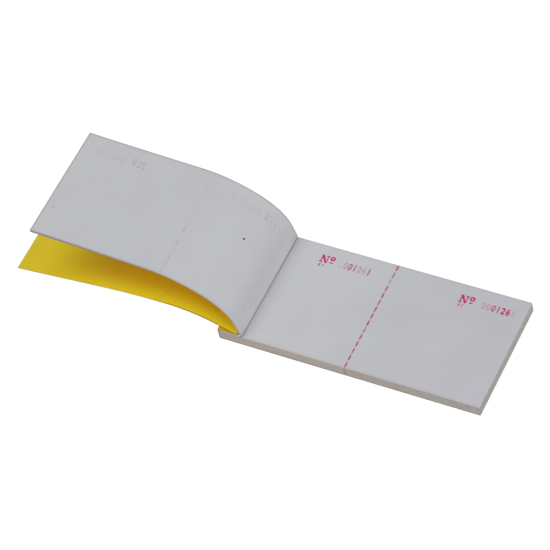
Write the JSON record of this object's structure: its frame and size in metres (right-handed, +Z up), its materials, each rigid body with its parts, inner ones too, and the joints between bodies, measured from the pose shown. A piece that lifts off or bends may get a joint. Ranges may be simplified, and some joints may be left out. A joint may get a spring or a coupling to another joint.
{
  "type": "sales ticket pad",
  "caption": "Bound pad of perforated sales tickets with counterfoils in a wrap-round yellow card cover; cover and first leaves are turned back, and the top ticket tears off.",
  "frame": {"origin": "centre of the leaves' footprint on the underside of the back cover, where the pad lies on the table", "axes": "+X from the spine towards the leaves' free end, +Y from the front edge to the back edge, +Z up out of the pad"},
  "size_m": [0.2728, 0.07, 0.0507],
  "materials": {
    "paper": "matt uncoated white",
    "cover_card": "matt yellow card",
    "adhesive": "dried adhesive",
    "staple_wire": "zinc-coated flat wire"
  },
  "bodies": {
    "pad": {"cover_wrap": "cover_card", "binding_glue": "adhesive", "staples": "staple_wire", "turned_margins": "paper", "top_counterfoil": "paper", "leaf_02": "paper", "leaf_03": "paper", "leaf_04": "paper", "leaf_05": "paper", "leaf_06": "paper", "leaf_07": "paper", "leaf_08": "paper", "leaf_09": "paper", "leaf_10": "paper", "leaf_11": "paper", "leaf_12": "paper", "leaf_13": "paper", "leaf_14": "paper", "leaf_15": "paper", "leaf_16": "paper", "leaf_17": "paper", "leaf_18": "paper", "leaf_19": "paper", "leaf_20": "paper", "leaf_21": "paper", "leaf_22": "paper", "leaf_23": "paper", "leaf_24": "paper", "leaf_25": "paper", "leaf_26": "paper", "leaf_27": "paper", "leaf_28": "paper", "leaf_29": "paper", "leaf_30": "paper", "leaf_31": "paper", "leaf_32": "paper", "leaf_33": "paper", "leaf_34": "paper", "leaf_35": "paper", "leaf_36": "paper", "leaf_37": "paper", "leaf_38": "paper", "leaf_39": "paper", "leaf_40": "paper", "leaf_41": "paper", "leaf_42": "paper", "leaf_43": "paper", "leaf_44": "paper"},
    "top_ticket": {"top_ticket": "paper"},
    "cover_near": {"front_cover_1": "cover_card"},
    "cover_middle": {"front_cover_2": "cover_card"},
    "cover_far": {"front_cover_3": "cover_card"},
    "turned_1": {"turned_counterfoils_1": "paper"},
    "turned_2": {"turned_counterfoils_2": "paper"},
    "turned_3": {"turned_counterfoils_3": "paper"},
    "turned_4": {"turned_counterfoils_4": "paper"},
    "turned_tickets": {"turned_tickets": "paper"}
  },
  "joints": [
    {"name": "cover_turn", "type": "hinge", "parent": "pad", "child": "cover_near", "pos_m": [-0.064, 0, 0.00815], "axis": [0, 1, 0], "range_deg": [-3, 155]},
    {"name": "cover_bend_1", "type": "hinge", "parent": "cover_near", "child": "cover_middle", "pos_m": [-0.09023, 0, 0.01796], "axis": [0, 1, 0], "range_deg": [-0.43, 21.02]},
    {"name": "cover_bend_2", "type": "hinge", "parent": "cover_middle", "child": "cover_far", "pos_m": [-0.12623, 0, 0.01764], "axis": [0, 1, 0], "range_deg": [-0.14, 6.02]},
    {"name": "leaf_turn", "type": "hinge", "parent": "pad", "child": "turned_1", "pos_m": [-0.062, 0, 0.00782], "axis": [0, 1, 0], "range_deg": [-1.98, 101.42]},
    {"name": "leaf_bend_1", "type": "hinge", "parent": "turned_1", "child": "turned_2", "pos_m": [-0.06499, 0, 0.02264], "axis": [0, 1, 0], "range_deg": [-0.61, 30.77]},
    {"name": "leaf_bend_2", "type": "hinge", "parent": "turned_2", "child": "turned_3", "pos_m": [-0.07514, 0, 0.03386], "axis": [0, 1, 0], "range_deg": [-0.42, 20.67]},
    {"name": "leaf_bend_3", "type": "hinge", "parent": "turned_3", "child": "turned_4", "pos_m": [-0.08859, 0, 0.04077], "axis": [0, 1, 0], "range_deg": [-0.22, 10.57]},
    {"name": "leaf_bend_4", "type": "hinge", "parent": "turned_4", "child": "turned_tickets", "pos_m": [-0.10308, 0, 0.0451], "axis": [0, 1, 0], "range_deg": [-0.28, 13.17]},
    {"name": "ticket_tear_off", "type": "slide", "parent": "pad", "child": "top_ticket", "axis": [1, 0, 0], "range_m": [0, 0.08]}
  ],
  "couplings": [
    {"joint": "cover_bend_1", "follows": "cover_turn", "ratio": 0.13548},
    {"joint": "cover_bend_2", "follows": "cover_turn", "ratio": 0.03871},
    {"joint": "leaf_turn", "follows": "cover_turn", "ratio": 0.65419},
    {"joint": "leaf_bend_1", "follows": "cover_turn", "ratio": 0.19839},
    {"joint": "leaf_bend_2", "follows": "cover_turn", "ratio": 0.13323},
    {"joint": "leaf_bend_3", "follows": "cover_turn", "ratio": 0.068065},
    {"joint": "leaf_bend_4", "follows": "cover_turn", "ratio": 0.084839}
  ]
}
